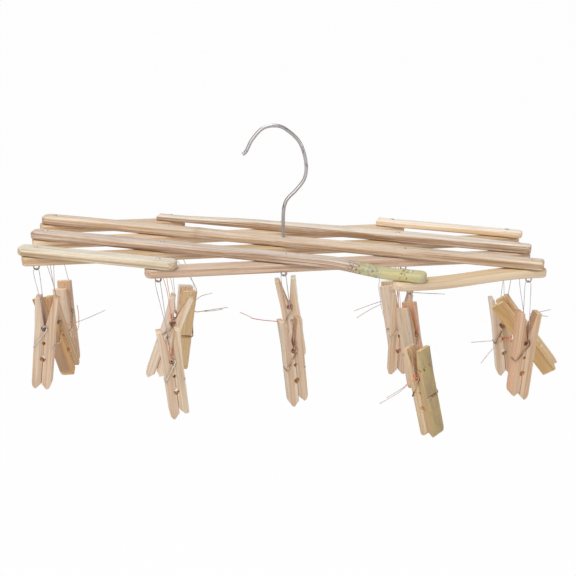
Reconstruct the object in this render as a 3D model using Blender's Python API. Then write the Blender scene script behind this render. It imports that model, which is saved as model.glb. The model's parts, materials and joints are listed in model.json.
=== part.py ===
"""Folding clip hanger: a lattice of ten bamboo sticks under a wire hook, with pegs hung from its pivots.

Metres, +Z up. The origin is the inside top of the hook, where it rests on a rail. The lattice lies level
below it with its long way along X, and row 0 of its pivots is the front one, at low Y.
"""

import math

import bmesh
import bpy
import numpy as np
from mathutils import Matrix, Vector

# Running gap between two pieces that touch
CLEARANCE = 0.0003

# Lattice sticks
PIVOT_PITCH = 0.091
REST_ANGLE = math.radians(14.4)
STICK_WIDTH = 0.014
STICK_THICKNESS = 0.006
STICK_CORNER = 0.0045
STICK_CHAMFER = 0.0008
# The front corner at the right hangs low: two sticks bow down to it
CORNER_PIVOT = (3, 0)
CORNER_DROP = 0.0045
BOW_CLEAR = 0.003
BOW_END = 0.012
BOW_CUTS = 6

# Eye pins: one wire through both sticks of a pivot, clenched on top and bent to an open eye below
PIN_WIRE = 0.0012
PIN_CLENCH = 0.003
EYE_RADIUS = 0.0016
EYE_START = math.radians(65)
EYE_TURN = math.radians(275)

# Hook: one wire from its clenched foot under the middle pivot, up the shank and round the crook
HOOK_WIRE = 0.0027
HOOK_FOOT = 0.009
HOOK_BEND = 0.0024
CROOK_TOP = (-0.0097, 0.0834)
CROOK_BEFORE_TOP = [
    (-0.0006, 0.0180), (0.0007, 0.0265), (0.0038, 0.0314), (0.0079, 0.0357), (0.0142, 0.0453),
    (0.0146, 0.0575), (0.0094, 0.0719), (-0.0014, 0.0814),
]
CROOK_AFTER_TOP = [(-0.0181, 0.0809), (-0.0252, 0.0726), (-0.0292, 0.0641), (-0.0318, 0.0615)]

# Pegs: two jaws that rock on a sprung coil
HANDLE_LENGTH = 0.0225
TIP_LENGTH = 0.0430
LONG_TIP_LENGTH = 0.0460
JAW_WIDTH = 0.011
JAW_THICKNESS = 0.0072
HANDLE_SPREAD = 0.0168
HANDLE_TIP = 0.0036
TIP_THICKNESS = 0.0064
BIG_HOLE_RADIUS = 0.0023
BIG_HOLE_DROP = 0.0237
SMALL_HOLE_RADIUS = 0.0014
SMALL_HOLE_DROP = 0.0115
MOUTH_DEPTH = 0.0043
MOUTH_HALF = 0.0040
TIP_CUT = 0.0025
GROOVE_DROP = 0.0145
GROOVE_DEPTH = 0.0009

# Peg springs
SPRING_WIRE = 0.0011
COIL_RADIUS = 0.0022
COIL_POINTS = 8
COIL_WHOLE_TURNS = 2
LEG_END_GAP = 0.0006

# Fine wire loops that hang each spring from its eye
LOOP_WIRE = 0.0006
LOOP_FOOT = 0.00045
LOOP_SHOULDER = (0.0018, 0.0015, 0.0026)
LOOP_NECK = (0.0007, 0.0011, 0.0008)
LOOP_CROSSING = 0.0004

# Each stick: its first pivot's column and row, how many pivots it has, which of them carries it,
# and how far it runs on past its end pivots
UPPER_STICKS = {
    "upper_stick_1": ((0, 1), 2, 0, 0.0132),
    "upper_stick_2": ((0, 3), 4, 1, 0.0110),
    "upper_stick_3": ((0, 5), 5, 2, 0.0100),
    "upper_stick_4": ((1, 6), 4, 2, 0.0100),
    "upper_stick_5": ((3, 6), 2, 1, 0.0120),
}
LOWER_STICKS = {
    "lower_stick_1": ((3, 0), 2, 1, 0.0128),
    "lower_stick_2": ((1, 0), 4, 2, 0.0092),
    "lower_stick_3": ((0, 1), 5, 2, 0.0100),
    "lower_stick_4": ((0, 3), 4, 1, 0.0098),
    "lower_stick_5": ((0, 5), 2, 0, 0.0112),
}
MIDDLE_PIVOT = (2, 3)

# Each peg: its pivot's column and row, its coil's place right of and below the eye,
# the way it faces about the vertical, and how far its tips lean to the right, in degrees
PEGS = {
    "peg_1a": ((0, 1), 0.0057, 0.0447, 0, -4.6),
    "peg_1b": ((0, 3), 0.0045, 0.0562, 60, 18),
    "peg_1c": ((0, 5), 0.0067, 0.0617, 80, 6),
    "peg_2a": ((1, 0), 0.0099, 0.0592, 10, 8),
    "peg_2b": ((1, 2), 0.0080, 0.0463, 0, -18),
    "peg_2c": ((1, 4), 0.0144, 0.0566, -74, -5.6),
    "peg_2d": ((1, 6), 0.0116, 0.0700, -75, -5),
    "peg_3a": ((2, 1), 0.0080, 0.0568, 14, 7.4),
    "peg_3b": ((2, 5), 0.0080, 0.0530, 0, 11),
    "peg_4a": ((3, 0), 0.0124, 0.0630, -46, 14),
    "peg_4b": ((3, 2), 0.0080, 0.0510, 60, 11.5),
    "peg_4c": ((3, 4), 0.0056, 0.0557, 0, -0.5),
    "peg_4d": ((3, 6), 0.0030, 0.0620, 80, 11),
    "peg_5a": ((4, 1), 0.0012, 0.0468, 10, -3),
    "peg_5b": ((4, 3), 0.0045, 0.0490, 67, 39.5),
    "peg_5c": ((4, 5), 0.0018, 0.0640, 0, 8.8),
}
# Pegs cut longer than the rest
LONG_PEGS = ("peg_1a", "peg_4a", "peg_5b")
# Pegs that lean so far from their loops that a strand passes on each side of a handle, at this height
STRADDLED = {"peg_1a": 0.0180, "peg_2b": 0.0180, "peg_5b": 0.0180}

# Levels and spacings worked out from the sizes above
STICK_TOP = HOOK_WIRE / 2 - CROOK_TOP[1]
STICK_BOTTOM = STICK_TOP - 2 * STICK_THICKNESS - CLEARANCE
EYE_LEVEL = STICK_BOTTOM - CLEARANCE - PIN_WIRE / 2 - EYE_RADIUS
COLUMN_STEP = PIVOT_PITCH * math.cos(REST_ANGLE)
ROW_STEP = PIVOT_PITCH * math.sin(REST_ANGLE)
STICK_LAP = STICK_WIDTH / 2 * (1 + math.cos(2 * REST_ANGLE)) / math.sin(2 * REST_ANGLE)
BOW_SPAN = PIVOT_PITCH - STICK_LAP - BOW_CLEAR - BOW_END
HANDLE_ANGLE = math.atan2(HANDLE_SPREAD / 2 - HANDLE_TIP, HANDLE_LENGTH)
COIL_SEAT = COIL_RADIUS + SPRING_WIRE / 2 + CLEARANCE
LEG_SIDE = JAW_WIDTH / 2 + CLEARANCE + SPRING_WIRE / 2
LEG_OUT = JAW_THICKNESS - GROOVE_DEPTH + CLEARANCE + SPRING_WIRE / 2
LEG_ANGLE = math.atan2(-GROOVE_DROP, LEG_OUT)

for old_object in list(bpy.data.objects):
    bpy.data.objects.remove(old_object)

parts = bpy.data.collections.new("clip_hanger")
helpers = bpy.data.collections.new("cutters_and_guides")
for collection in (parts, helpers):
    bpy.context.scene.collection.children.link(collection)


def pivot(column, row):
    """A pivot's place on the lattice's top face."""
    x = -CROOK_TOP[0] + (column - MIDDLE_PIVOT[0]) * COLUMN_STEP
    y = (row - MIDDLE_PIVOT[1]) * ROW_STEP
    return Vector((x, y, STICK_TOP))


def material(name, color, roughness, metallic=0.0):
    surface = bpy.data.materials.new(name)
    surface.use_nodes = True
    shader = surface.node_tree.nodes["Principled BSDF"]
    shader.inputs["Base Color"].default_value = (*color, 1.0)
    shader.inputs["Roughness"].default_value = roughness
    shader.inputs["Metallic"].default_value = metallic
    surface.diffuse_color = (*color, 1.0)
    return surface


def add_part(name, mesh, surface, matrix=Matrix(), parent=None):
    """A named piece of the hanger, placed by its own matrix or by its parent's."""
    piece = bpy.data.objects.new(name, mesh)
    if not mesh.materials:
        mesh.materials.append(surface)
    parts.objects.link(piece)
    piece.parent = parent
    piece.matrix_local = matrix
    return piece


def add_helper(name, mesh, matrix=Matrix(), parent=None):
    """A cutter or guide, which isn't a piece of the hanger."""
    helper = bpy.data.objects.new(name, mesh)
    helpers.objects.link(helper)
    helper.hide_render = True
    helper.display_type = "WIRE"
    helper.parent = parent
    helper.matrix_local = matrix
    return helper


def combine(piece, helper, operation):
    boolean = piece.modifiers.new(operation.lower(), "BOOLEAN")
    boolean.object = helper
    boolean.operation = operation
    boolean.solver = "EXACT"


def tube_curve(name, points, diameter, resolution):
    """An open round wire along points, with its ends closed."""
    curve = bpy.data.curves.new(name, "CURVE")
    curve.dimensions = "3D"
    curve.bevel_depth = diameter / 2
    curve.bevel_resolution = resolution
    curve.render_resolution_u = 0
    curve.use_fill_caps = True
    spline = curve.splines.new("POLY")
    spline.points.add(len(points) - 1)
    for spline_point, point in zip(spline.points, points):
        spline_point.co = (*point, 1.0)
    return curve


def tube_mesh(name, points, diameter, resolution):
    """The same wire as a closed mesh, for joining to another piece."""
    guide = add_helper(name, tube_curve(name, points, diameter, resolution))
    graph = bpy.context.evaluated_depsgraph_get()
    mesh = bpy.data.meshes.new_from_object(guide.evaluated_get(graph))
    bpy.data.objects.remove(guide)
    work = bmesh.new()
    work.from_mesh(mesh)
    bmesh.ops.remove_doubles(work, verts=work.verts, dist=1e-6)
    work.to_mesh(mesh)
    work.free()
    return mesh


def joined_mesh(name, meshes_and_places):
    """Copies of meshes moved to their places, as one mesh."""
    work = bmesh.new()
    for mesh, place in meshes_and_places:
        before = set(work.verts)
        work.from_mesh(mesh)
        added = [vertex for vertex in work.verts if vertex not in before]
        bmesh.ops.transform(work, matrix=place, verts=added)
    joined = bpy.data.meshes.new(name)
    work.to_mesh(joined)
    work.free()
    return joined


def smooth_route(points, per_span):
    """Points along a smooth curve through the given ones, which keeps its ends."""
    route = [np.array(point, float) for point in points]
    padded = [2 * route[0] - route[1], *route, 2 * route[-1] - route[-2]]
    smooth = []
    for before, start, end, after in zip(padded, padded[1:], padded[2:], padded[3:]):
        for step in range(per_span):
            t = step / per_span
            smooth.append(
                0.5 * (2 * start + (end - before) * t
                       + (2 * before - 5 * start + 4 * end - after) * t ** 2
                       + (3 * start - 3 * end + after - before) * t ** 3)
            )
    return [tuple(point) for point in smooth] + [tuple(route[-1])]


def corner_arc(center, radius, start, end, steps):
    """Points on an arc in the XZ plane, from angle start to angle end."""
    angles = np.linspace(start, end, steps + 1)
    return [(center[0] + radius * math.cos(a), 0.0, center[1] + radius * math.sin(a)) for a in angles]


def bow(along, low_pivot, carried):
    """How far a stick has bowed down at a place along it, in the bay beside its low pivot.

    It starts past the stretch where the next pivot's two sticks lie on each other.
    """
    if low_pivot is None:
        return 0.0
    low = (low_pivot - carried) * PIVOT_PITCH
    inward = along - low if low_pivot == 0 else low - along
    share = 1 - (inward - BOW_END) / BOW_SPAN
    share = min(max(share, 0.0), 1.0)
    return CORNER_DROP * share * share * (3 - 2 * share)


def stick_mesh(name, pivots, carried, end, low_pivot):
    """A bamboo strip along X whose carrying pivot is at X 0, with its top face at Z 0."""
    length = (pivots - 1) * PIVOT_PITCH + 2 * end
    middle = (pivots - 1) * PIVOT_PITCH / 2 - carried * PIVOT_PITCH
    work = bmesh.new()
    bmesh.ops.create_cube(work, size=1.0)
    bmesh.ops.scale(work, vec=(length, STICK_WIDTH, STICK_THICKNESS), verts=work.verts)
    bmesh.ops.translate(work, vec=(middle, 0, -STICK_THICKNESS / 2), verts=work.verts)
    half = STICK_THICKNESS / 2
    upright = [edge for edge in work.edges if abs(edge.verts[0].co.z - edge.verts[1].co.z) > half]
    rounding = {"profile": 0.5, "affect": "EDGES", "material": -1}
    bmesh.ops.bevel(work, geom=upright, offset=STICK_CORNER, segments=3, **rounding)
    rim = {edge for face in work.faces if abs(face.normal.z) > 0.9 for edge in face.edges}
    bmesh.ops.bevel(work, geom=list(rim), offset=STICK_CHAMFER, segments=1, **rounding)
    if low_pivot is not None:
        low = (low_pivot - carried) * PIVOT_PITCH
        inwards = 1 if low_pivot == 0 else -1
        for reach in np.linspace(BOW_END, BOW_END + BOW_SPAN, BOW_CUTS):
            whole = work.verts[:] + work.edges[:] + work.faces[:]
            cut = (low + inwards * reach, 0, 0)
            bmesh.ops.bisect_plane(work, geom=whole, plane_co=cut, plane_no=(1, 0, 0))
        for vertex in work.verts:
            vertex.co.z -= bow(vertex.co.x, low_pivot, carried)
    mesh = bpy.data.meshes.new(name)
    work.to_mesh(mesh)
    work.free()
    return mesh


def hole_mesh(diameter):
    """A cutter for one pivot hole, longer than a stick is thick."""
    work = bmesh.new()
    radius = diameter / 2
    depth = 4 * STICK_THICKNESS
    bmesh.ops.create_cone(work, cap_ends=True, segments=10, radius1=radius, radius2=radius, depth=depth)
    mesh = bpy.data.meshes.new("hole")
    work.to_mesh(mesh)
    work.free()
    return mesh


def pin_mesh():
    """An eye pin whose axis is Z, seen from its stick's top face: clench, shank and open eye."""
    eye = EYE_LEVEL - STICK_TOP
    clench_level = PIN_WIRE / 4
    route = [(PIN_CLENCH, 0.0, clench_level), (PIN_WIRE, 0.0, clench_level)]
    route.append((0.0, 0.0, clench_level - PIN_WIRE))
    route.append((0.0, 0.0, eye + EYE_RADIUS + CLEARANCE))
    route += corner_arc((0.0, eye), EYE_RADIUS, EYE_START, EYE_START - EYE_TURN, 8)
    return tube_mesh("eye_pin", route, PIN_WIRE, 1)


def build_sticks():
    bamboo = material("bamboo", (0.62, 0.45, 0.27), 0.55)
    lattice = bpy.data.objects.new("lattice", None)
    parts.objects.link(lattice)
    one_pin = pin_mesh()
    one_hole = hole_mesh(PIN_WIRE + 2 * CLEARANCE)
    hook_hole = hole_mesh(HOOK_WIRE + 2 * CLEARANCE)
    peg_pivots = {peg[0] for peg in PEGS.values()}
    for sticks, row_sign, level in ((UPPER_STICKS, -1, 0.0), (LOWER_STICKS, 1, -STICK_THICKNESS - CLEARANCE)):
        for name, (first, pivots, carried, end) in sticks.items():
            places = [(first[0] + k, first[1] + row_sign * k) for k in range(pivots)]
            low_pivot = places.index(CORNER_PIVOT) if CORNER_PIVOT in places else None
            turn = Matrix.Rotation(row_sign * REST_ANGLE, 4, "Z")
            matrix = Matrix.Translation(pivot(*places[carried]) + Vector((0, 0, level))) @ turn
            stick = add_part(name, stick_mesh(name, pivots, carried, end, low_pivot), bamboo, matrix, lattice)
            holes = []
            pins = []
            for k, place in enumerate(places):
                reach = (k - carried) * PIVOT_PITCH
                along = Matrix.Translation((reach, 0, -bow(reach, low_pivot, carried)))
                if place not in peg_pivots:
                    holes.append((hook_hole, along))
                elif sticks is UPPER_STICKS:
                    pins.append((one_pin, along @ turn.inverted()))
                else:
                    holes.append((one_hole, along))
            if holes:
                cutter = add_helper(name + "_holes", joined_mesh(name + "_holes", holes), matrix, lattice)
                combine(stick, cutter, "DIFFERENCE")
            if pins:
                guide = add_helper(name + "_pins", joined_mesh(name + "_pins", pins), matrix, lattice)
                combine(stick, guide, "UNION")


def build_hook():
    """The foot lies under the lower stick, and the shank rises through the middle pivot."""
    steel = material("hook_steel", (0.62, 0.62, 0.63), 0.28, 1.0)
    foot_level = STICK_BOTTOM - STICK_TOP - CLEARANCE - HOOK_WIRE / 2
    foot = [(-HOOK_FOOT, 0.0, foot_level)]
    foot += [(x - HOOK_BEND, 0.0, z) for x, _, z in corner_arc(
        (0.0, foot_level + HOOK_BEND), HOOK_BEND, math.radians(-90), 0.0, 4)]
    crook = smooth_route([(0.0, 0.0), *CROOK_BEFORE_TOP, CROOK_TOP, *CROOK_AFTER_TOP], 3)
    route = foot + [(x, 0.0, z) for x, z in crook]
    curve = tube_curve("hook", route, HOOK_WIRE, 2)
    add_part("hook", curve, steel, Matrix.Translation(pivot(*MIDDLE_PIVOT)))


def jaw_outline(tip):
    """The right-hand jaw from the side: the coil's axis at the origin, X outwards, Z towards the handle."""
    inner = CLEARANCE / 2

    def inner_notch(level, radius, steps, last=None):
        reach = math.acos(inner / radius)
        return corner_arc((0.0, level), radius, -reach, reach if last is None else last, steps)

    outline = [
        (inner, 0.0, -tip + MOUTH_DEPTH),
        *inner_notch(-BIG_HOLE_DROP, BIG_HOLE_RADIUS, 5),
        *inner_notch(-SMALL_HOLE_DROP, SMALL_HOLE_RADIUS, 4),
        *inner_notch(0.0, COIL_SEAT, 5, math.pi / 2 - HANDLE_ANGLE),
        (HANDLE_SPREAD / 2 - HANDLE_TIP, 0.0, HANDLE_LENGTH),
        (HANDLE_SPREAD / 2, 0.0, HANDLE_LENGTH),
        (JAW_THICKNESS, 0.0, 0.0),
    ]
    groove_half = SPRING_WIRE / 2 + CLEARANCE
    outline += [
        (JAW_THICKNESS, 0.0, -GROOVE_DROP + groove_half),
        (JAW_THICKNESS - GROOVE_DEPTH, 0.0, -GROOVE_DROP + groove_half),
        (JAW_THICKNESS - GROOVE_DEPTH, 0.0, -GROOVE_DROP - groove_half),
        (JAW_THICKNESS, 0.0, -GROOVE_DROP - groove_half),
        (TIP_THICKNESS, 0.0, -tip + TIP_CUT),
        (MOUTH_HALF, 0.0, -tip),
    ]
    return outline


def jaw_mesh(name, side, tip):
    """A jaw cut from its outline across the peg's width; side is 1 for the right jaw and -1 for the left."""
    work = bmesh.new()
    corners = [work.verts.new((side * x, -JAW_WIDTH / 2, z)) for x, _, z in jaw_outline(tip)]
    face = work.faces.new(corners)
    swept = bmesh.ops.extrude_face_region(work, geom=[face])
    moved = [item for item in swept["geom"] if isinstance(item, bmesh.types.BMVert)]
    bmesh.ops.translate(work, vec=(0, JAW_WIDTH, 0), verts=moved)
    bmesh.ops.recalc_face_normals(work, faces=work.faces)
    mesh = bpy.data.meshes.new(name)
    work.to_mesh(mesh)
    work.free()
    return mesh


def coil_points():
    """The spring's turns, from where the left jaw's leg meets them to where the right jaw's leaves."""
    leg_reach = math.hypot(LEG_OUT, GROOVE_DROP)
    leaving = LEG_ANGLE - math.acos(COIL_RADIUS / leg_reach) + 2 * math.pi
    entering = math.pi - leaving
    turn = leaving - entering + 2 * math.pi * COIL_WHOLE_TURNS
    steps = round(turn / (2 * math.pi) * COIL_POINTS)
    points = []
    for k in range(steps + 1):
        angle = entering + turn * k / steps
        across = LEG_SIDE * (2 * k / steps - 1)
        points.append((COIL_RADIUS * math.cos(angle), across, COIL_RADIUS * math.sin(angle)))
    return points


def spring_route():
    """From the left jaw's groove up to the coil, round its turns and down to the right jaw's groove."""
    foot = JAW_WIDTH / 2 - LEG_END_GAP
    bend = SPRING_WIRE / 2
    leg = [
        (LEG_OUT, -foot, -GROOVE_DROP),
        (LEG_OUT, LEG_SIDE - bend, -GROOVE_DROP),
        (LEG_OUT - bend * math.cos(LEG_ANGLE), LEG_SIDE, -GROOVE_DROP - bend * math.sin(LEG_ANGLE)),
    ]
    mirrored = [(-x, -y, z) for x, y, z in leg]
    return mirrored + coil_points() + leg[::-1]


def least_gap_to_self(route, diameter):
    """The least gap between two stretches of a wound wire that aren't neighbours along it."""
    points = np.array(route)
    lengths = np.linalg.norm(np.diff(points, axis=0), axis=1)
    along = np.concatenate([[0.0], np.cumsum(lengths)])
    fine = np.linspace(0.0, along[-1], 400)
    dense = np.stack([np.interp(fine, along, points[:, axis]) for axis in range(3)], axis=1)
    apart = np.linalg.norm(dense[:, None] - dense[None, :], axis=2)
    near = np.abs(fine[:, None] - fine[None, :]) < 4 * diameter
    apart[near] = np.inf
    return apart.min() - diameter


def loop_route(name, peg_matrix, eye):
    """From the coil up one side, through the eye over its lowest wire, and back down to the coil."""
    if name in STRADDLED:
        side = LEG_SIDE + LOOP_WIRE / 2
        entering_x, _, entering_z = coil_points()[0]
        over = HANDLE_SPREAD / 2 * (1 if (peg_matrix.inverted() @ eye).x > 0 else -1)
        near = [Vector((entering_x, -side, entering_z)), Vector((over, -side, STRADDLED[name]))]
        far = [Vector((-entering_x, side, entering_z)), Vector((over, side, STRADDLED[name]))]
    else:
        near = [Vector((0, -LOOP_FOOT, COIL_RADIUS))]
        far = [Vector((0, LOOP_FOOT, COIL_RADIUS))]
    feet = [peg_matrix @ point for point in near]
    far_feet = [peg_matrix @ point for point in far]
    shoulder = Vector((-LOOP_SHOULDER[0], -LOOP_SHOULDER[1], -LOOP_SHOULDER[2]))
    neck = Vector((-LOOP_NECK[0], -LOOP_NECK[1], -LOOP_NECK[2]))
    flip = Matrix.Diagonal((-1, -1, 1, 1))
    up = feet + [eye + shoulder, eye + neck]
    down = [eye + flip @ neck, eye + flip @ shoulder] + far_feet[::-1]
    return up + [eye - Vector((0, 0, LOOP_CROSSING))] + down


def build_pegs():
    wood = material("peg_wood", (0.70, 0.52, 0.33), 0.6)
    wire = material("spring_steel", (0.42, 0.38, 0.33), 0.45, 1.0)
    jaws = {}
    for tip in (TIP_LENGTH, LONG_TIP_LENGTH):
        jaws[tip] = (jaw_mesh("left_jaw", -1, tip), jaw_mesh("right_jaw", 1, tip))
    spring = tube_mesh("spring", spring_route(), SPRING_WIRE, 1)
    gap = least_gap_to_self(spring_route(), SPRING_WIRE)
    print("least gap of a peg spring to itself, mm: %.2f" % (gap * 1000))
    for name, (place, right_of_eye, below_eye, facing, lean) in PEGS.items():
        eye = pivot(*place)
        eye.z = EYE_LEVEL - (CORNER_DROP if place == CORNER_PIVOT else 0.0)
        hanging = bpy.data.objects.new(name, None)
        hanging.location = eye
        parts.objects.link(hanging)
        turned = Matrix.Rotation(math.radians(-lean), 4, "Y") @ Matrix.Rotation(math.radians(facing), 4, "Z")
        in_hanging = Matrix.Translation((right_of_eye, 0, -below_eye)) @ turned
        left, right = jaws[LONG_TIP_LENGTH if name in LONG_PEGS else TIP_LENGTH]
        add_part(name + "_left_jaw", left, wood, in_hanging, hanging)
        add_part(name + "_right_jaw", right, wood, in_hanging, hanging)
        piece = add_part(name + "_spring", spring.copy(), wire, in_hanging, hanging)
        route = loop_route(name, in_hanging, Vector((0, 0, 0)))
        in_peg = [in_hanging.inverted() @ point for point in route]
        loop = tube_mesh(name + "_loop", in_peg, LOOP_WIRE, 0)
        combine(piece, add_helper(name + "_loop", loop, in_hanging, hanging), "UNION")


build_sticks()
build_hook()
build_pegs()

for piece in parts.objects:
    if piece.type == "MESH":
        piece.data.shade_smooth()
        piece.data.set_sharp_from_angle(angle=math.radians(35))
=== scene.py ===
# %% [markdown]
# # A folding clip hanger of bamboo, wire and pegs
#
# The real thing is a small lattice of ten bamboo sticks under a wire hook. Sixteen sprung pegs hang
# from its pivots on fine wire loops. A measured model of it is already packed, with every piece at its
# real size and every joint in place. This lesson dresses that model: finer wood, finer wire, and a
# finish for each.
#
# The model could be left as it is with new materials, but its pieces are faceted and its corners are
# plain. So each piece is made again at the same place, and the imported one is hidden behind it.

# %% Load the measured model
import json
import math
import random

import bmesh
import bpy
from mathutils import Matrix, Vector, noise

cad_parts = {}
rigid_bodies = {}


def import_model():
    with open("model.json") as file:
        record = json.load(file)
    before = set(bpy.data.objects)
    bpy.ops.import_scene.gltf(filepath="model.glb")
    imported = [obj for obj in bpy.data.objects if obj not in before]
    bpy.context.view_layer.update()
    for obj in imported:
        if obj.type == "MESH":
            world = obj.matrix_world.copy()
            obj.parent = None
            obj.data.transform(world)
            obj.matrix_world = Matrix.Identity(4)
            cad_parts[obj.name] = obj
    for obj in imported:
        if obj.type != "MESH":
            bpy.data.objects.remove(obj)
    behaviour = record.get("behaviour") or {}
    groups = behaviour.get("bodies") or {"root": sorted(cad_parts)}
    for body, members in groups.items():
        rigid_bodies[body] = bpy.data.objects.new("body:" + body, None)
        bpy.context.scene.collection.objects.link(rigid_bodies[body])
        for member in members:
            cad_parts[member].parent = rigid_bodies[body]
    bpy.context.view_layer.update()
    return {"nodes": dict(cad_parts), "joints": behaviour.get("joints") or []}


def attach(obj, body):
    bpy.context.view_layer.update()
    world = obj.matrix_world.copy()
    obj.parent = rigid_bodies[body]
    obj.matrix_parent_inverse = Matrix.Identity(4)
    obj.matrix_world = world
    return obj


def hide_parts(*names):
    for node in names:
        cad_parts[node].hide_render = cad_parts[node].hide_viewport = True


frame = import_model()
joints = {joint["name"]: joint for joint in frame["joints"]}
print("pieces in the model:", len(frame["nodes"]), "joints:", len(joints))

# %% [markdown]
# ## Where things are
#
# The joints say where the pivots are, so no place has to be typed twice. Two pivots along one stick
# give its direction and the pivots' spacing. A joint's name says which stick or peg it moves.

# %% Read the lattice from its joints
MM = 0.001


def joint_place(name):
    return Vector(joints[name]["pos_m"])


middle_pivot = joint_place("hook_swivel")
upper_run = joint_place("lower_stick_1_turn") - joint_place("lower_stick_2_turn")
lower_run = joint_place("upper_stick_2_turn") - joint_place("upper_stick_1_turn")
pivot_pitch = lower_run.length
pegs = sorted(name.removesuffix("_swing") for name in joints if name.endswith("_swing"))
print("pivot spacing %.1f mm, pegs %d" % (pivot_pitch / MM, len(pegs)))

# %% [markdown]
# ## The camera
#
# The photograph was taken with a long lens from a little above the lattice and almost square to it.
# A camera could be aimed with a Track To constraint, but three plain turns keep its roll as well:
# yaw about the vertical, then pitch, then roll.

# %% Place the camera
LENS = 81.25
YAW = math.radians(-1.9022)
PITCH = math.radians(17.1476)
ROLL = math.radians(2.0070)
CAMERA_FROM_MIDDLE = Vector((-0.02634, -0.93713, 0.24957))

turned = Matrix.Rotation(ROLL, 3, "Y") @ Matrix.Rotation(PITCH, 3, "X") @ Matrix.Rotation(-YAW, 3, "Z")
right, forward, up = turned
lens = bpy.data.cameras.new("camera")
lens.lens = LENS
lens.clip_end = 100.0
camera = bpy.data.objects.new("camera", lens)
bpy.context.scene.collection.objects.link(camera)
facing = Matrix((right, up, -forward)).transposed().to_4x4()
camera.matrix_world = Matrix.Translation(middle_pivot + CAMERA_FROM_MIDDLE) @ facing
bpy.context.scene.camera = camera
print("camera at", [round(c, 3) for c in camera.matrix_world.translation])

# %% [markdown]
# ## Light and floor
#
# The photograph is a cut-out on white, lit softly from above with a little more light from the left.
# A large lamp overhead gives the pale tops of the sticks, a weaker one in front keeps their sides from
# going grey, a small one lifts the right, and the world fills the rest. The floor glows white for the
# camera and still takes a trace of shadow.

# %% Light the scene
WORLD_COLOUR = (1.0, 0.99, 0.98, 1.0)
WORLD_STRENGTH = 0.55
# Each lamp's place and size in metres, and its power in watts
LAMPS = {
    "lamp_above": ((-0.5, -0.2, 1.5), 1.1, 16.5),
    "lamp_front": ((-0.9, -1.6, 0.5), 0.9, 9.2),
    "lamp_right": ((1.4, -0.7, 0.4), 0.5, 3.0),
}


def area_lamp(name, place, size, power):
    """A square soft lamp that looks at the middle of the hanger."""
    light = bpy.data.lights.new(name, "AREA")
    light.size = size
    light.energy = power
    lamp = bpy.data.objects.new(name, light)
    lamp.location = place
    lamp.rotation_euler = (middle_pivot - Vector(place)).to_track_quat("-Z", "Y").to_euler()
    bpy.context.scene.collection.objects.link(lamp)


for name, (place, size, power) in LAMPS.items():
    area_lamp(name, place, size, power)

world = bpy.data.worlds.new("studio")
world.use_nodes = True
sky = world.node_tree.nodes["Background"]
sky.inputs["Color"].default_value = WORLD_COLOUR
sky.inputs["Strength"].default_value = WORLD_STRENGTH
bpy.context.scene.world = world
bpy.context.scene.view_settings.view_transform = "Standard"
print("lamps:", len(LAMPS))


# %% [markdown]
# ## Sums on sockets
#
# A shader is a net of small sums. Drawing each one as a node by hand is slow to read, so a small class
# stands for the output of a node and takes part in ordinary Python sums: writing `1 - mask` adds a
# Math node. Another class holds the material and adds every other kind of node in one way.


# %% A socket that does sums
class Value:
    """The output of one node, used in sums like a number."""

    def __init__(self, finish, socket):
        self.finish = finish
        self.socket = socket

    def maths(self, operation, *values):
        return self.finish.node("ShaderNodeMath", {"operation": operation}, dict(enumerate(values)))

    def __add__(self, other):
        return self.maths("ADD", self, other)

    def __sub__(self, other):
        return self.maths("SUBTRACT", self, other)

    def __rsub__(self, other):
        return self.maths("SUBTRACT", other, self)

    def __mul__(self, other):
        return self.maths("MULTIPLY", self, other)

    __radd__ = __add__
    __rmul__ = __mul__

    def size(self):
        return self.maths("ABSOLUTE", self)

    def most(self, other):
        return self.maths("MAXIMUM", self, other)

    def between(self, low, high):
        """0 at low, 1 at high, and smooth in between."""
        ends = {"Value": self, "From Min": low, "From Max": high}
        return self.finish.node("ShaderNodeMapRange", {"interpolation_type": "SMOOTHSTEP"}, ends)


# %% [markdown]
# A material's nodes could be added and linked one line at a time, as the editor's menus do. Here one
# method takes a node's type, its settings and its values, so that each node is one line. The noise, the
# mix and the bump that most finishes need are methods of the same class.


# %% A material that adds its own nodes
class Finish:
    """A material with one Principled shader, and the nodes that feed it."""

    def __init__(self, name, **settings):
        self.material = bpy.data.materials.new(name)
        self.material.use_nodes = True
        self.tree = self.material.node_tree
        self.shader = self.tree.nodes["Principled BSDF"]
        for socket, value in settings.items():
            self.feed(self.shader.inputs[socket], value)

    def feed(self, socket, value):
        if isinstance(value, Value):
            self.tree.links.new(value.socket, socket)
        else:
            socket.default_value = value

    def node(self, kind, settings=None, sockets=None, output=0):
        """Any node: what kind, how it is set, and what goes into its sockets."""
        node = self.tree.nodes.new(kind)
        for key, value in (settings or {}).items():
            setattr(node, key, value)
        for key, value in (sockets or {}).items():
            self.feed(node.inputs[key], value)
        return Value(self, node.outputs[output])

    def mix(self, share, first, second):
        """A Mix node's colours are its sockets 6 and 7, and its mixed colour is its output 2."""
        sockets = {0: share, 6: first, 7: second}
        return self.node("ShaderNodeMix", {"data_type": "RGBA"}, sockets, output=2)

    def noise(self, place, stretch, detail=2.0, roughness=0.5):
        """Cloudy noise, with its own number of waves to the place's unit each way."""
        stretched = self.node("ShaderNodeVectorMath", {"operation": "MULTIPLY"}, {0: place, 1: stretch})
        sockets = {"Vector": stretched, "Scale": 1.0, "Detail": detail, "Roughness": roughness}
        return self.node("ShaderNodeTexNoise", None, sockets)

    def bump(self, height, depth):
        sockets = {"Height": height, "Distance": depth, "Strength": 1.0}
        self.feed(self.shader.inputs["Normal"], self.node("ShaderNodeBump", None, sockets))


def tone(red, green, blue):
    """A screen colour, 0 to 255, as the linear colour that a shader takes."""
    return tuple(((c / 255 + 0.055) / 1.055) ** 2.4 for c in (red, green, blue)) + (1.0,)


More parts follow.
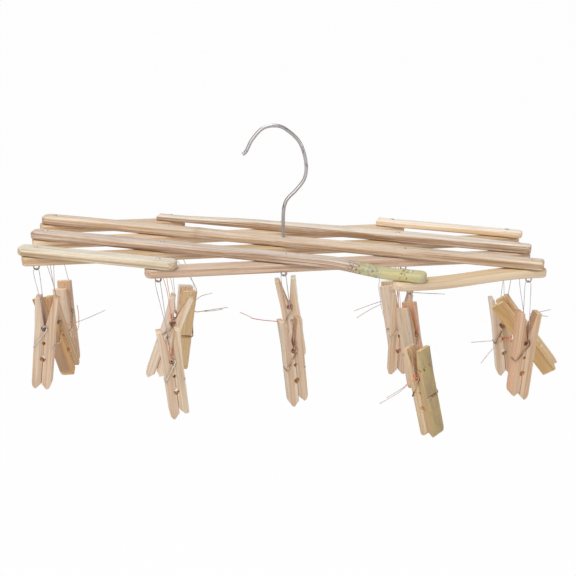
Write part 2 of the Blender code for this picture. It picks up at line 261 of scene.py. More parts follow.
# %% [markdown]
# ## Making a piece
#
# Every piece is shaped in its own plain axes, where its length lies along one of them. Before it
# moves to its place, each corner notes its own coordinates, in millimetres, in an attribute called
# grain. The wood's fibres follow that attribute, so they run along the stick or jaw whichever way it
# hangs. Object coordinates would need a turned pattern for every piece.


# %% Finish, place and name a piece
def note_grain(work, grain):
    """Every corner of a bmesh notes its place in the wood, which grain works out from where it is."""
    layer = work.verts.layers.float_vector.new("grain")
    for vertex in work.verts:
        vertex[layer] = grain(vertex.co)


def add_piece(name, work, place, body, materials, smooth_below=40):
    """A mesh piece from a bmesh in its own axes, which the matrix place takes to where it belongs."""
    mesh = bpy.data.meshes.new(name)
    work.to_mesh(mesh)
    work.free()
    mesh.transform(place)
    mesh.shade_smooth()
    mesh.set_sharp_from_angle(angle=math.radians(smooth_below))
    for finish in materials:
        mesh.materials.append(finish)
    return link_piece(bpy.data.objects.new(name, mesh), body)


def link_piece(piece, body):
    bpy.context.scene.collection.objects.link(piece)
    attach(piece, body)
    return piece


def round_over(work, edges, width, steps):
    bmesh.ops.bevel(work, geom=edges, offset=width, segments=steps, profile=0.5, affect="EDGES",
                    material=-1)


# %% [markdown]
# Wires are curves, which is the natural way to make a long round thing: a route through a few points
# and a thickness. The points are joined by a smooth spline that passes through every one of them.


# %% Make a wire
def smooth_route(points, per_span):
    """Points along a smooth curve through the given ones."""
    route = [Vector(point) for point in points]
    padded = [2 * route[0] - route[1], *route, 2 * route[-1] - route[-2]]
    smooth = []
    for before, start, end, after in zip(padded, padded[1:], padded[2:], padded[3:]):
        for step in range(per_span):
            t = step / per_span
            smooth.append(0.5 * (2 * start + (end - before) * t
                                 + (2 * before - 5 * start + 4 * end - after) * t ** 2
                                 + (3 * start - 3 * end + after - before) * t ** 3))
    return smooth + [route[-1]]


def add_wire(name, points, diameter, body, material, sides=3):
    """A round wire along the points, which are places in the model."""
    curve = bpy.data.curves.new(name, "CURVE")
    curve.dimensions = "3D"
    curve.bevel_depth = diameter / 2
    curve.bevel_resolution = sides
    curve.use_fill_caps = True
    spline = curve.splines.new("POLY")
    spline.points.add(len(points) - 1)
    for spline_point, point in zip(spline.points, points):
        spline_point.co = (*point, 1.0)
    spline.use_smooth = True
    curve.materials.append(material)
    return link_piece(bpy.data.objects.new(name, curve), body)


# %% [markdown]
# ## Bamboo
#
# A planed bamboo strip has long straight fibres, broad pale and tan bands a few millimetres wide, and
# short dark dashes where its vessels were cut. Its outer skin is paler than the body. On the upper
# sticks, where the skin is on top, that paleness is partly the skin's own and partly painted top light.
# In strips from the outside of the cane a green rind is left. A wood photograph could be wrapped round
# it, but a few stretched noises give all of that at any size. Depth below the skin picks the layer.

# %% Choose the wood's patterns
# Each noise has its waves to the millimetre along, across and into the wood, its detail and roughness
FIBRES = ((0.030, 1.7, 1.7), 3.0, 0.6)
LINES = ((0.011, 0.62, 0.85), 2.0, 0.6)
BANDS = ((0.009, 0.26, 0.36), 2.0)
VESSELS = ((0.16, 4.0, 4.0), 1.0)
PATCHES = ((0.030, 0.12, 0.12), 2.0)
BARK = ((0.05, 0.22, 0.22), 3.0, 0.7)
SCUFFS = ((0.5, 1.6, 1.6), 3.0, 0.75)
SPECKS = ((0.42, 0.52, 0.52), 4.0, 0.7)
# Where in its noise a mark begins to show and where it is full; some have their own strength as well
STREAKED_BANDS = (0.38, 0.62, 1.0)
STREAKED_PATCHES = (0.55, 0.75, 0.3)
DARK_LINES = (0.53, 0.66)
PALE_LINES = (0.49, 0.34)
DARK_FIBRES = (0.54, 0.72)
PALE_FIBRES = (0.46, 0.28)
DARK_VESSELS = (0.61, 0.72)
SECOND_BARK = (0.42, 0.60)
PALE_SCUFFS = (0.58, 0.70)
DARK_SCUFFS = (0.40, 0.30)
DARK_SPECKS = (0.53, 0.59)
BROKEN_RING = (0.40, 0.60)
# Places in mm: where a painted shade darkens a strip's lower edges, how far from its middle a ring's line
# and its stain reach, how ragged a ring and the rind's ends are, and how soon the rind starts and ends
EDGE_SHADE_DEPTHS = (-4.9, -6.1)
RING_LINE = (0.2, 1.1)
RING_STAIN = (0.8, 6.0)
RAGGED_RING = 4.0
RAGGED_RIND = 16.0
RIND_STARTS = 9.0
RIND_ENDS = 4.0
RIND_EDGE = 0.5
# Colours that every piece of wood takes from its own, and three that all rind shares
DARKER_THAN_STREAK = (0.44, 0.36, 0.28)
PALER_THAN_SKIN = 1.35
PALEST = 0.95
PALE_SCUFF = tone(224, 218, 190)
DARK_SCUFF = tone(120, 116, 84)
SPECK = tone(92, 72, 40)
WOOD_RELIEF = 0.12 * MM

# %% [markdown]
# The colours are laid over each other as stains are: the body first, then the bands, the skin, and the
# thin marks. Each layer is a Mix node whose share is a noise squeezed between two limits, so limits
# that lie close together give a mark a hard edge. One painted texture would do as well, but only for
# one piece. A small class keeps the colour so far, and the relief that goes to the Bump node.


# %% Build up wood in layers
class Wood(Finish):
    """A finish that keeps its colour and its relief while layers are added to them."""

    def __init__(self, name, tones, roughness):
        super().__init__(name, Roughness=roughness)
        self.skin, self.body, self.streak = tones
        self.dark = tuple(c * share for c, share in zip(self.streak, DARKER_THAN_STREAK)) + (1.0,)
        self.pale = tuple(min(PALEST, c * PALER_THAN_SKIN) for c in self.skin[:3]) + (1.0,)
        self.place = self.node("ShaderNodeAttribute", {"attribute_name": "grain"}, output=1)
        self.along = self.node("ShaderNodeSeparateXYZ", None, {0: self.place}, output=0)
        self.depth = self.node("ShaderNodeSeparateXYZ", None, {0: self.place}, output=2)
        self.patches = self.noise(self.place, *PATCHES)
        self.colour = self.body
        self.relief = 0.0

    def layer(self, share, colour):
        self.colour = self.mix(share, self.colour, colour)

    def mark(self, pattern, start, full, strength, colour):
        """A layer that begins where the pattern is start and is as strong as it gets where it is full."""
        if strength:
            self.layer(pattern.between(start, full) * strength, colour)

    def add_ring(self, ring):
        """Where a joint of the cane was: a broken dark line with a stain to both sides."""
        off = (self.along + (self.patches - 0.5) * RAGGED_RING - ring).size()
        line = (1 - off.between(*RING_LINE)) * self.patches.between(*BROKEN_RING)
        self.layer((1 - off.between(*RING_STAIN)) * 0.25, self.streak)
        self.layer(line * 0.2, self.dark)
        self.relief = self.relief + line

    def add_rind(self, start, end, deep, first, second, knots):
        """Green rind from start to end along the wood and down to deep, with specks at its knots."""
        ragged = self.along + (self.patches - 0.5) * RAGGED_RIND
        covered = ragged.between(start, start + RIND_STARTS) * ragged.between(end, end - RIND_ENDS)
        bark = self.mix(self.noise(self.place, *BARK).between(*SECOND_BARK), first, second)
        scuffs = self.noise(self.place, *SCUFFS)
        bark = self.mix(scuffs.between(*PALE_SCUFFS) * 0.35, bark, PALE_SCUFF)
        bark = self.mix(scuffs.between(*DARK_SCUFFS) * 0.35, bark, DARK_SCUFF)
        self.layer(covered * self.depth.between(deep - RIND_EDGE, deep), bark)
        specks = self.noise(self.place, *SPECKS)
        for knot, spread in knots:
            near = 1 - (self.along - knot).size().between(spread * 0.4, spread)
            spots = specks.between(*DARK_SPECKS) * near
            self.layer(spots * 0.85, SPECK)
            self.relief = self.relief - spots


def wood(name, tones, skin_depth=1.3, roughness=0.5, contrast=0.45, edge_shade=0.0, rings=(), rind=None):
    """Wood with a skin at depth 0; rings are places along it, and rind says where the green rind is."""
    finish = Wood(name, tones, roughness)
    fibres = finish.noise(finish.place, *FIBRES)
    lines = finish.noise(finish.place, *LINES)
    bands = finish.noise(finish.place, *BANDS)
    vessels = finish.noise(finish.place, *VESSELS)
    wavy_depth = finish.depth + finish.patches * 0.8
    finish.mark(bands, *STREAKED_BANDS, finish.streak)
    # The skin layer; on the upper sticks, where it is on top, its paleness is partly painted top light
    finish.mark(wavy_depth, 0.4 - skin_depth, 0.55 - skin_depth * 0.2, 0.9, finish.skin)
    finish.mark(finish.patches, *STREAKED_PATCHES, finish.streak)
    finish.mark(lines, *DARK_LINES, contrast, finish.dark)
    finish.mark(lines, *PALE_LINES, contrast, finish.pale)
    finish.mark(fibres, *DARK_FIBRES, contrast, finish.dark)
    finish.mark(fibres, *PALE_FIBRES, contrast, finish.pale)
    finish.mark(vessels, *DARK_VESSELS, contrast * 0.7, finish.dark)
    # Painted shade along a strip's lower edges
    finish.mark(finish.depth, *EDGE_SHADE_DEPTHS, edge_shade, finish.dark)
    finish.relief = fibres * 0.5 + vessels * 0.5 + lines * 0.8
    for ring in rings:
        finish.add_ring(ring)
    if rind:
        finish.add_rind(*rind)
    finish.feed(finish.shader.inputs["Base Color"], finish.colour)
    finish.feed(finish.shader.inputs["Roughness"], fibres * 0.25 + (roughness - 0.1))
    finish.bump(finish.relief, WOOD_RELIEF)
    return finish.material


# %% [markdown]
# ## The lattice sticks
#
# Each stick is a strip about 14 mm wide and 6 mm thick, cut from a cane, with round or square ends. A
# cube is stretched to the strip's length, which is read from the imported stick. Its four upright edges
# are rounded for the ends and its rims for the long edges, and cuts every few millimetres let it wave
# a little, as split bamboo does. Two sticks also bow down to the lattice's low corner, and the two at
# the back were split off narrower than the others.

# %% What each stick looks like
STICK_WIDTH = 14.0 * MM
STICK_THICKNESS = 6.0 * MM
STICK_GAP = 0.3 * MM

# Colours of skin, body and streak; how round the left and right ends are and how soft the edges, in
# mm; how strong the grain is; and where the cane's joints were, in mm from the stick's carrying pivot
# On the upper sticks the paler skin on top is partly painted top light
STICKS = {
    "upper_stick_1": ((214, 206, 190), (208, 188, 156), (196, 168, 132), 6.3, 5.6, 2.6, 0.5, ()),
    "upper_stick_2": ((202, 187, 173), (192, 161, 133), (174, 139, 112), 5.8, 4.6, 2.4, 0.7, (147,)),
    "upper_stick_3": ((214, 195, 173), (194, 166, 135), (178, 144, 112), 6.0, 2.0, 2.2, 0.55, (-66,)),
    "upper_stick_4": ((228, 214, 200), (192, 160, 128), (168, 132, 100), 1.6, 4.2, 1.6, 0.5, ()),
    "upper_stick_5": ((244, 234, 220), (238, 208, 166), (220, 182, 136), 1.8, 3.0, 2.0, 0.45, ()),
    "lower_stick_1": ((212, 186, 148), (228, 206, 178), (214, 186, 152), 6.4, 6.6, 1.8, 0.3, ()),
    "lower_stick_2": ((202, 180, 160), (214, 184, 157), (198, 160, 132), 4.6, 5.0, 1.5, 0.55, ()),
    "lower_stick_3": ((196, 168, 130), (224, 198, 168), (204, 166, 130), 3.2, 6.0, 1.4, 0.5, (88,)),
    "lower_stick_4": ((218, 192, 162), (236, 210, 178), (216, 176, 134), 2.6, 5.0, 1.3, 0.5, ()),
    "lower_stick_5": ((206, 182, 156), (216, 176, 130), (196, 150, 104), 3.0, 5.0, 1.3, 0.6, ()),
}
# How strong the painted shade along the strips' lower edges is
PAINTED_EDGE_SHADE = 0.4
# From, to and how deep the rind goes, its two tones, and its knots with how far their specks spread
RIND = (140.0, 198.0, -8.0, tone(200, 188, 132), tone(182, 178, 148), ((144, 9.0), (156, 5.0), (178, 4.0)))
RIND_STICK = "upper_stick_2"
JAW_RIND = (-60.0, 40.0, -1.0, tone(188, 166, 116), tone(172, 149, 113), ((8, 2.6),))
RIND_JAW = "peg_4a_right_jaw"


def shifted_rind(rind, shift):
    """The same rind in wood whose grain starts elsewhere."""
    start, end, deep, first, second, knots = rind
    shifted_knots = [(knot + shift, spread) for knot, spread in knots]
    return start + shift, end + shift, deep, first, second, shifted_knots


# %% [markdown]
# A stick's place could be typed in, but the joint that carries it says where its pivot is, and the
# packed stick says how far it reaches. A matrix takes the stick from its own axes to that place, so it
# can be shaped as if it lay along X.

# %% Find a stick's place and length
# The two sticks whose joint isn't named after them
CARRYING_JOINTS = {"upper_stick_3": "hook_swivel", "lower_stick_3": "fold"}


def stick_place(name):
    """The matrix that takes a stick's own axes to its place, with its carrying pivot at X 0."""
    pivot = joint_place(CARRYING_JOINTS.get(name, name + "_turn"))
    run = upper_run if name.startswith("upper") else lower_run
    level = 0.0 if name.startswith("upper") else -STICK_THICKNESS - STICK_GAP
    turn = Matrix.Rotation(math.atan2(run.y, run.x), 4, "Z")
    return Matrix.Translation(pivot + Vector((0, 0, level))) @ turn


def reach_along(name, place):
    """How far a packed stick runs to each side of its carrying pivot."""
    to_stick = place.inverted()
    along = [(to_stick @ vertex.co).x for vertex in frame["nodes"][name].data.vertices]
    return min(along), max(along)


# %% [markdown]
# Bows and tapers are small sums of how far along the stick a corner is. A lattice or a curve modifier
# could bend a stick too, but a sum is exact at the pivots, where the sticks have to lie on each other.

# %% How the sticks differ from straight ones
LOW_CORNER_DROP = 4.5 * MM
BOW_TO_LOW_PIVOT = 12.0 * MM
# For each bowed stick: its low pivot, counted from the carrying one; which way leads in from there; and
# for how many mm it is level before the next pivot
BOWED = {"upper_stick_2": (2, -1, 30.2), "lower_stick_1": (-1, 1, 5.0)}
# One back stick gets thinner to the left and narrower at both ends, from so many pivot spacings off
# its carrying pivot and over so many more. The other is thinner and narrower all along.
TAPERED_STICK = "upper_stick_4"
THINNER = (2.4 * MM, -1.15, 0.85)
NARROWER_LEFT = (0.72, -0.3, 1.0)
NARROWER_RIGHT = (0.5, 0.55, 0.4)
THIN_STICK = "upper_stick_5"
THINNER_ALL_ALONG = 1.2 * MM
NARROWER_ALL_ALONG = 0.45


def eased(share):
    """0 to 1 with a soft start and a soft end."""
    share = min(max(share, 0.0), 1.0)
    return share * share * (3 - 2 * share)


def bow(name, along):
    """How far the stick has bowed down here, on its way to the low corner."""
    if name not in BOWED:
        return 0.0
    low_pivot, inwards, level_for = BOWED[name]
    from_low = (along - low_pivot * pivot_pitch) * inwards
    span = pivot_pitch - level_for * MM - BOW_TO_LOW_PIVOT
    return LOW_CORNER_DROP * eased(1 - (from_low - BOW_TO_LOW_PIVOT) / span)


def taper(size, start, over, way, along):
    """0 up to start, then more until it is size; way is -1 to the left and 1 to the right."""
    return size * eased(way * (along - start * pivot_pitch) / (over * pivot_pitch))


def thinning(name, along):
    """How much thinner the stick is here."""
    if name == TAPERED_STICK:
        return taper(*THINNER, -1, along)
    return THINNER_ALL_ALONG if name == THIN_STICK else 0.0


def split_away(name, along):
    """How much of the width of the stick's back half was split off here."""
    if name == TAPERED_STICK:
        return max(taper(*NARROWER_LEFT, -1, along), taper(*NARROWER_RIGHT, 1, along))
    return NARROWER_ALL_ALONG if name == THIN_STICK else 0.0


# %% [markdown]
# A strip gets its round ends and edges while it is straight, because a bevel needs clean rims, and is
# bent after that. Its grain is noted in between: each corner keeps its place on the straight strip, so
# the fibres follow the bends.

# %% Cut the sticks
END_STEPS = 8
EDGE_STEPS = 4
LOWER_SOFTNESS = 0.55
CUT_EVERY = 4 * MM
SAME_PLACE = 1e-5
# How far one stick lies from the next in the wood's pattern, in mm, so that no two look alike
GRAIN_STEP = Vector((53.0, 11.0, 0.0))
# The wave's turns to the metre, its step from stick to stick, and its sizes across and on the flat in mm
WAVES = 14.0
WAVE_STEP = 7.3
WAVE_ON_FLAT = Vector((0, 3.1, 0))
SIDE_WAVE = 0.35
FLAT_WAVE = 0.22
# Half the length and the height of the swelling at a joint of the cane, in mm
SWELL_LENGTH = 3.0
SWELL_HEIGHT = 0.3


def stick_blank(left_end, right_end, left_round, right_round, soft):
    """A straight strip with round ends and soft edges, cut across in many places so that it can bend."""
    length = right_end - left_end
    middle = ((left_end + right_end) / 2, 0, -STICK_THICKNESS / 2)
    work = bmesh.new()
    bmesh.ops.create_cube(work, size=1.0)
    bmesh.ops.scale(work, vec=(length, STICK_WIDTH, STICK_THICKNESS), verts=work.verts)
    bmesh.ops.translate(work, vec=middle, verts=work.verts)
    for end, radius in ((left_end, left_round), (right_end, right_round)):
        upright = [edge for edge in work.edges
                   if all(abs(vertex.co.x - end) < SAME_PLACE for vertex in edge.verts)
                   and abs(edge.verts[0].co.z - edge.verts[1].co.z) > STICK_THICKNESS / 2]
        round_over(work, upright, radius * MM, END_STEPS)
    for level, width in ((0.0, soft), (-STICK_THICKNESS, soft * LOWER_SOFTNESS)):
        rim = [edge for edge in work.edges
               if all(abs(vertex.co.z - level) < SAME_PLACE for vertex in edge.verts)]
        round_over(work, rim, width * MM, EDGE_STEPS)
    cuts = round(length / CUT_EVERY)
    for k in range(1, cuts):
        whole = work.verts[:] + work.edges[:] + work.faces[:]
        cut = (left_end + length * k / cuts, 0, 0)
        bmesh.ops.bisect_plane(work, geom=whole, plane_co=cut, plane_no=(1, 0, 0))
    return work


def bend_stick(work, name, seed, rings):
    """Waves, swellings, the split-off back and the bow; the face against the other sticks stays flat."""
    upper = name.startswith("upper")
    for vertex in work.verts:
        along = vertex.co.x
        wave = Vector((along * WAVES, seed * WAVE_STEP, 0.5))
        vertex.co.y += noise.noise(wave) * SIDE_WAVE * MM
        swell = max([math.exp(-((along / MM - ring) / SWELL_LENGTH) ** 2) for ring in rings], default=0.0)
        rise = noise.noise(wave + WAVE_ON_FLAT) * FLAT_WAVE * MM + swell * SWELL_HEIGHT * MM
        if upper and vertex.co.z > -STICK_THICKNESS / 2:
            vertex.co.z += rise - thinning(name, along)
        elif not upper and vertex.co.z < -STICK_THICKNESS / 2:
            vertex.co.z -= rise
        if vertex.co.y > 0:
            vertex.co.y *= 1 - split_away(name, along)
        vertex.co.z -= bow(name, along)


def cut_stick(name, seed):
    """One stick; its grain is noted before it is bent, so that the fibres follow the bends."""
    *colours, left_round, right_round, soft, contrast, rings = STICKS[name]
    place = stick_place(name)
    work = stick_blank(*reach_along(name, place), left_round, right_round, soft)
    shift = GRAIN_STEP * seed
    note_grain(work, lambda corner: corner / MM + shift)
    bend_stick(work, name, seed, rings)
    finish = wood(name + "_bamboo", [tone(*colour) for colour in colours], contrast=contrast,
                  edge_shade=PAINTED_EDGE_SHADE, rings=[ring + shift.x for ring in rings],
                  rind=shifted_rind(RIND, shift.x) if name == RIND_STICK else None)
    strip = add_piece(name + "_strip", work, place, name, [finish])
    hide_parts(name)
    return len(strip.data.polygons)


for seed, name in enumerate(STICKS):
    print(name, "faces:", cut_stick(name, seed))

# %% [markdown]
# ## Steel and copper
#
# The hook is drawn wire that has been handled for years. Polished metal is mostly what it mirrors, so
# it gets some roughness, and the lamps make its streaks. Its dark bluish blotches are partly stains and
# partly painted reflection. The peg springs are duller, with brown where they have rusted, and the fine
# wires are nearly matte.


# %% The metals' finishes
# Each noise has its waves to the metre each way, its detail and its roughness
STAINS_AND_REFLECTIONS = ((160.0, 160.0, 160.0), 4.0, 0.65)
PITS = ((900.0, 900.0, 900.0), 2.0)
METAL_RELIEF = 0.02 * MM
# Where in their noise the blotches begin and are full, and how far the share of them brings both down at
# the most. The blotches are stains, and on the hook partly painted reflection.
STAINS_AND_REFLECTIONS_BEGIN = 0.62
STAINS_AND_REFLECTIONS_FULL = 0.80
STAINS_AND_REFLECTIONS_SPREAD = 0.3
# The output of Texture Coordinate that gives a place on the object in metres
OBJECT_PLACE = 3


def metal(name, colour, stain_and_reflection, roughness, stain_and_reflection_amount, metallic=1.0):
    """A metal with fine pits and rougher blotches, which are stains and on the hook partly painted
    reflection; the fifth argument says how far they spread.
    """
    finish = Finish(name, Metallic=metallic)
    place = finish.node("ShaderNodeTexCoord", output=OBJECT_PLACE)
    pits = finish.noise(place, *PITS)
    spread = stain_and_reflection_amount * STAINS_AND_REFLECTIONS_SPREAD
    share = finish.noise(place, *STAINS_AND_REFLECTIONS).between(STAINS_AND_REFLECTIONS_BEGIN - spread, STAINS_AND_REFLECTIONS_FULL - spread)
    finish.feed(finish.shader.inputs["Base Color"], finish.mix(share * 0.85, colour, stain_and_reflection))
    finish.feed(finish.shader.inputs["Roughness"], share * 0.3 + pits * 0.12 + roughness)
    finish.bump(pits, METAL_RELIEF)
    return finish.material


# The hook's dark bluish blotches: partly stains, partly painted reflection
hook_steel = metal("hook_steel", tone(188, 184, 184), tone(120, 118, 126), 0.27, 0.25)
pin_steel = metal("pin_steel", tone(206, 194, 184), tone(136, 122, 110), 0.38, 0.5, 0.7)
eye_steel = metal("eye_steel", tone(176, 168, 164), tone(100, 90, 84), 0.3, 0.55)
spring_bright = metal("spring_bright", tone(216, 208, 198), tone(156, 136, 116), 0.3, 0.5, 0.7)
spring_brown = metal("spring_brown", tone(206, 178, 150), tone(134, 100, 74), 0.42, 0.7, 0.35)
strand_grey = metal("strand_grey", tone(200, 188, 190), tone(160, 144, 146), 0.45, 0.5, 0.25)
tail_pink = metal("tail_pink", tone(208, 194, 192), tone(186, 156, 150), 0.45, 0.5, 0.25)
copper = metal("copper", tone(238, 158, 118), tone(206, 112, 76), 0.42, 0.6, 0.25)
red_brown = metal("red_brown_wire", tone(206, 124, 96), tone(150, 78, 60), 0.5, 0.6, 0.2)
tie_finishes = {"copper": copper, "red": red_brown, "pale": tail_pink}
print("finishes so far:", len(bpy.data.materials))

# %% [markdown]
# ## The hook
#
# One wire: a clenched foot under the sticks, a straight shank, and a crook that leans out to the right
# and comes back over the middle. The route's points are real sizes from the middle pivot, and a smooth
# curve passes through all of them.

# %% Bend the hook
HOOK_WIRE = 2.7 * MM
# The foot's length and the radius of its bend in mm, and the crook's points to the right of and above
# the middle pivot
HOOK_FOOT = 9.0
HOOK_BEND = 2.4
CROOK_STEPS = 12
CROOK = [
    (-0.6, 18.0), (0.7, 26.5), (3.8, 31.4), (7.9, 35.7), (14.2, 45.3), (14.6, 57.5), (9.4, 71.9),
    (-1.4, 81.4), (-9.7, 83.4), (-18.1, 80.9), (-25.2, 72.6), (-29.2, 64.1), (-31.8, 61.5),
]
foot_level = (-2 * STICK_THICKNESS - 2 * STICK_GAP - HOOK_WIRE / 2) / MM
quarter = [math.radians(-90 + 15 * k) for k in range(7)]
foot = [(-HOOK_FOOT, 0, foot_level), (-HOOK_FOOT / 2, 0, foot_level)]
foot += [(HOOK_BEND * (math.cos(a) - 1), 0, foot_level + HOOK_BEND * (1 + math.sin(a))) for a in quarter]
crook = smooth_route([(0.0, 0.0, 0.0)] + [(x, 0.0, z) for x, z in CROOK], CROOK_STEPS)
hook_points = [middle_pivot + Vector(point) * MM for point in [*foot, *crook]]
hook = add_wire("hook_wire", hook_points, HOOK_WIRE, "hook", hook_steel, sides=7)
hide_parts("hook")
print("hook points:", len(hook_points))

# %% [markdown]
# ## Eye pins
#
# At each outer pivot a thin wire goes up through both sticks, doubled, so that it hangs below them as a
# narrow U, and its ends are splayed on top under a small pressed head. The head is a profile spun
# about the pin's axis, and the U is a wire.

# %% Make the pins
PIN_WIRE = 1.1 * MM
PIN_HALF = 1.9 * MM
PIN_INTO_STICK = 5 * MM
PIN_STEPS = 10
# Out from the pin's axis and up from the stick, in mm
HEAD_PROFILE = [(0.0, 0.35), (0.5, 0.32), (0.75, 0.6), (1.15, 0.66), (1.55, 0.4), (1.7, 0.0), (1.6, -0.2)]
HEAD_STEPS = 20
# Every eye hangs this far under the top of its stick; it is read at a pin where the stick is level
eye_under_top = middle_pivot.z - joint_place("peg_1a_swing").z


def spun_head(name, place, body):
    """A small pressed head with a dimple, spun about Z."""
    work = bmesh.new()
    ring = [work.verts.new((radius * MM, 0, height * MM)) for radius, height in HEAD_PROFILE]
    edges = [work.edges.new(pair) for pair in zip(ring, ring[1:])]
    bmesh.ops.spin(work, geom=ring + edges, cent=(0, 0, 0), axis=(0, 0, 1), angle=math.tau,
                   steps=HEAD_STEPS, use_merge=True)
    bmesh.ops.remove_doubles(work, verts=work.verts, dist=SAME_PLACE)
    open_rim = [edge for edge in work.edges if edge.is_boundary]
    bmesh.ops.holes_fill(work, edges=open_rim)
    bmesh.ops.recalc_face_normals(work, faces=work.faces)
    return add_piece(name, work, place, body, [pin_steel])


def eye_pin(peg):
    """The pin that carries a peg: its head on the upper stick and its eye under the lower one."""
    eye = joint_place(peg + "_swing")
    stick = joints[peg + "_swing"]["parent"]
    along = (stick_place(stick).inverted() @ eye).x
    top = eye.z + eye_under_top - thinning(stick, along)
    spun_head(peg + "_pin_head", Matrix.Translation((eye.x, eye.y, top)), stick)
    half_circle = [math.pi + math.pi * k / PIN_STEPS for k in range(PIN_STEPS + 1)]
    under = [eye + PIN_HALF * Vector((math.cos(a), 0, math.sin(a))) for a in half_circle]
    left_side, right_side = [eye + Vector((way * PIN_HALF, 0, PIN_INTO_STICK)) for way in (-1, 1)]
    route = [left_side, *under, right_side]
    add_wire(peg + "_pin_eye", route, PIN_WIRE, stick, eye_steel)


for peg in pegs:
    eye_pin(peg)
print("eye pins:", len(pegs))

# %% [markdown]
# ## Peg jaws
#
# A peg's jaw is a flat outline sawn across the wood: a slanted handle, a half-round seat for the coil,
# a small and a large notch that make the line's hole with the other jaw, and a tip cut to a point on
# the outside. The outline is one face that is extruded across the peg's width, and all its rims are
# then eased, as tumbling does to the real ones. The left jaw is the right one mirrored.

# %% The jaw's outline
# In mm, out from the peg's middle and up from the coil; a notch is its radius and its level
HANDLE_LENGTH = 22.5
JAW_WIDTH = 11.0
JAW_THICKNESS = 7.2
HANDLE_SPREAD = 16.8
HANDLE_TIP = 3.6
HANDLE_STARTS = 0.5
LINE_NOTCH = (2.3, -23.7)
SMALL_NOTCH = (1.4, -11.5)
MOUTH_DEPTH = 4.3
# The tip's outer corner, up from the tip's end
TIP_CORNER = [(7.0, 5.0), (6.5, 2.6), (5.5, 0.9), (4.0, 0.0)]
SQUARE_CORNER = [(7.0, 5.0), (6.9, 1.2), (6.2, 0.2), (4.0, 0.0)]
GROOVE_DROP = 14.5
GROOVE_DEPTH = 0.9
GROOVE_HALF = 0.95
GROOVE_STEPS = 6
SPRING_WIRE = 1.0
COIL_RADIUS = 1.8
RUNNING_GAP = 0.25
INNER = RUNNING_GAP / 2
handle_angle = math.atan2(HANDLE_SPREAD / 2 - HANDLE_TIP, HANDLE_LENGTH)
coil_seat = COIL_RADIUS + SPRING_WIRE / 2 + RUNNING_GAP


def notch(radius, level, steps, end=None):
    """Points round a half-round notch in the jaw's inner face, from its lower rim up to the angle end."""
    rim = math.acos(INNER / radius)
    sweep = rim + (rim if end is None else end)
    angles = [-rim + sweep * k / steps for k in range(steps + 1)]
    return [(radius * math.cos(a), level + radius * math.sin(a)) for a in angles]


def jaw_outline(tip, handle, corner):
    """The right jaw's outline, for its lengths below and above the coil and the corner at its tip."""
    half_turn = [math.pi * k / GROOVE_STEPS for k in range(GROOVE_STEPS + 1)]
    groove = [(JAW_THICKNESS - GROOVE_DEPTH * math.sin(a), -GROOVE_DROP + GROOVE_HALF * math.cos(a))
              for a in half_turn]
    return [
        (INNER, -tip + MOUTH_DEPTH),
        *notch(*LINE_NOTCH, 10),
        *notch(*SMALL_NOTCH, 8),
        *notch(coil_seat, 0.0, 10, math.pi / 2 - handle_angle),
        (HANDLE_SPREAD / 2 - HANDLE_TIP, handle),
        (HANDLE_SPREAD / 2, handle),
        (JAW_THICKNESS, HANDLE_STARTS),
        *groove,
        *[(x, z - tip) for x, z in corner],
    ]


# %% [markdown]
# A peg's place isn't written down either. Its squeeze joint gives the coil's middle and axis, and both
# jaws together are symmetric about the peg's length, so the middle of all their corners lies straight
# below the coil.


# %% Read where a peg hangs
def peg_frame(peg):
    """A matrix with the coil at its origin, X to the right jaw, Y along the coil and Z to the handles."""
    coil = joint_place(peg + "_squeeze")
    across = -Vector(joints[peg + "_squeeze"]["axis"])
    corners = set()
    for jaw in ("_left_jaw", "_right_jaw"):
        for vertex in frame["nodes"][peg + jaw].data.vertices:
            corners.add(tuple(round(c, 5) for c in vertex.co))
    middle = sum((Vector(corner) for corner in corners), Vector()) / len(corners)
    upward = (coil - middle).normalized()
    upward = (upward - across * upward.dot(across)).normalized()
    axes = Matrix((across.cross(upward), across, upward)).transposed().to_4x4()
    return Matrix.Translation(coil) @ axes


def tip_length(peg, place):
    """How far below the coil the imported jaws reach, in mm."""
    to_peg = place.inverted()
    return -min((to_peg @ vertex.co).z for vertex in frame["nodes"][peg + "_left_jaw"].data.vertices) / MM


# %% [markdown]
# The pegs are a mixed lot. Some jaws are grey-beige, some golden or pinkish, and one still has its
# green rind on the back. So each jaw has its own tone, its back and its streaks are shades of that, and
# the sawn faces inside the handles are browner.

# %% What each jaw looks like
# The colours of each peg's left and right jaw
JAW_TONES = {
    "peg_1a": ((216, 192, 168), (220, 191, 164)), "peg_1b": ((228, 188, 134), (218, 190, 154)),
    "peg_1c": ((220, 192, 166), (226, 200, 172)), "peg_2a": ((222, 198, 174), (226, 206, 180)),
    "peg_2b": ((234, 216, 196), (234, 212, 188)), "peg_2c": ((246, 230, 214), (220, 188, 142)),
    "peg_2d": ((228, 208, 190), (230, 210, 192)), "peg_3a": ((224, 204, 182), (212, 185, 158)),
    "peg_3b": ((234, 206, 180), (244, 226, 202)), "peg_4a": ((214, 188, 152), (200, 174, 130)),
    "peg_4b": ((214, 184, 154), (236, 192, 158)), "peg_4c": ((220, 194, 166), (214, 188, 164)),
    "peg_4d": ((228, 204, 180), (240, 222, 200)), "peg_5a": ((216, 184, 154), (222, 194, 164)),
    "peg_5b": ((238, 208, 162), (242, 214, 176)), "peg_5c": ((230, 212, 192), (208, 182, 154)),
}
